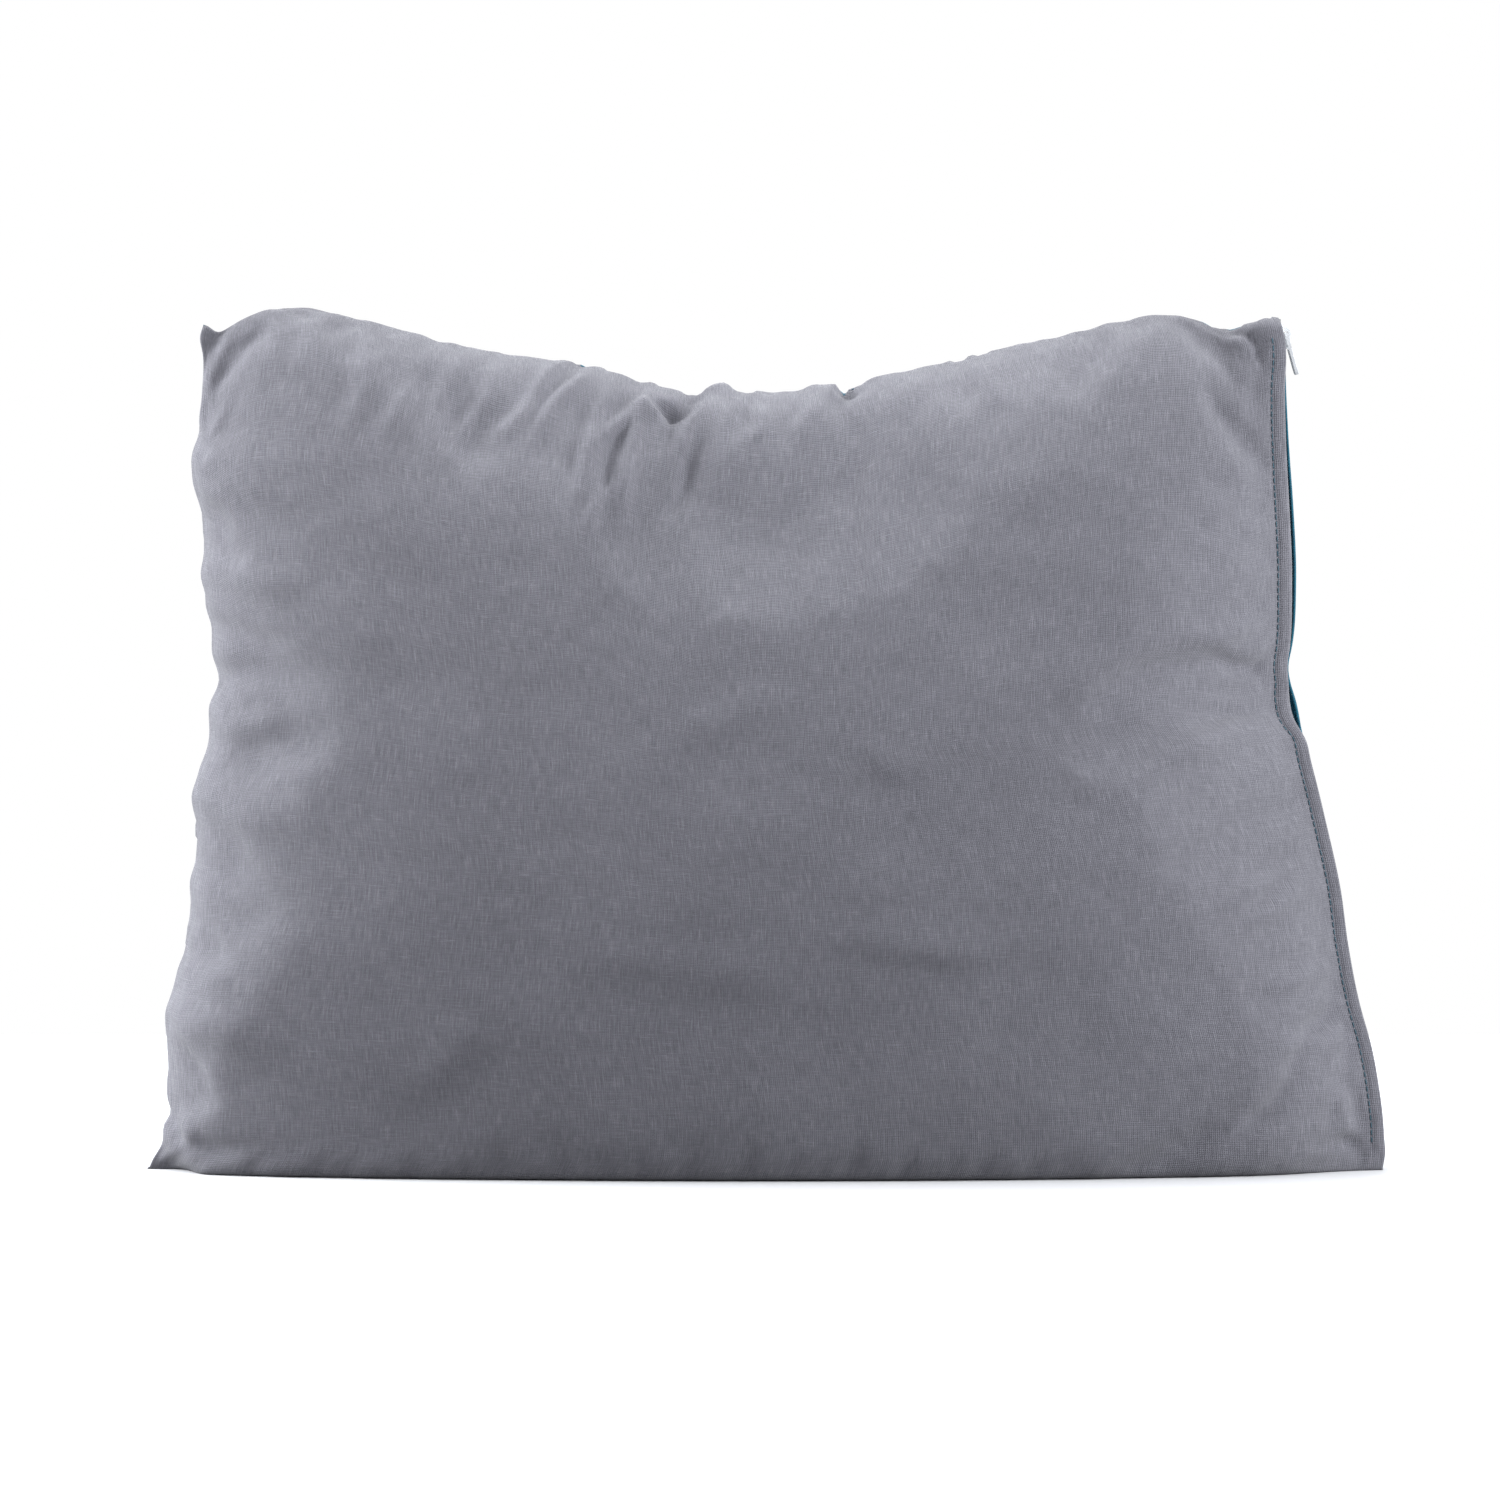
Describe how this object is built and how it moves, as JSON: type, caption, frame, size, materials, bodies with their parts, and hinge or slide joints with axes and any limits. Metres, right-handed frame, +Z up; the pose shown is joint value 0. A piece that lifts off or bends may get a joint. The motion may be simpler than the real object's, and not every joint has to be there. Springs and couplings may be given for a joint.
{
  "type": "camp pillow",
  "caption": "Stuffed camp pillow with a grey and teal zipped cover, standing on its long edge; the zip's slider runs down the side and its pull swings.",
  "frame": {"origin": "middle of the flattened long edge that the pillow stands on, at floor level", "axes": "+X along the long edge towards the zip, +Y from the grey front panel to the teal rear panel, +Z up"},
  "size_m": [0.5996, 0.16, 0.4194],
  "materials": {
    "grey_cloth": "matte",
    "teal_cloth": "matte",
    "teal_thread": "satin",
    "zip_tape": "matte",
    "zip_coil": "gloss",
    "stop_metal": "satin",
    "slider_paint": "gloss",
    "insert_cloth": "matte",
    "insert_thread": "matte",
    "stuffing": "matte"
  },
  "bodies": {
    "cover": {"cover_front_panel": "grey_cloth", "cover_rear_panel": "teal_cloth", "closing_seam_thread": "teal_thread", "zip_tape_front": "zip_tape", "zip_tape_rear": "zip_tape", "zip_coil_front": "zip_coil", "zip_coil_rear": "zip_coil", "zip_top_stop_front": "stop_metal", "zip_top_stop_rear": "stop_metal", "zip_bottom_stop": "stop_metal", "topstitch_front": "teal_thread", "topstitch_rear": "teal_thread", "insert_shell_front": "insert_cloth", "insert_shell_rear": "insert_cloth", "insert_seam_thread": "insert_thread", "insert_fill": "stuffing"},
    "zip_slider": {"slider_body": "slider_paint"},
    "zip_pull": {"pull_tab": "slider_paint"}
  },
  "joints": [
    {"name": "slider_travel", "type": "hinge", "parent": "cover", "child": "zip_slider", "pos_m": [1.4208, 0, 0.35272], "axis": [0, -1, 0], "range_deg": [0, 18.9], "deforming": ["zip_coil_front", "zip_coil_rear"]},
    {"name": "pull_swing", "type": "hinge", "parent": "zip_slider", "child": "zip_pull", "pos_m": [0.25165, 0, 0.40563], "axis": [0, -1, 0], "range_deg": [0, 150]}
  ]
}
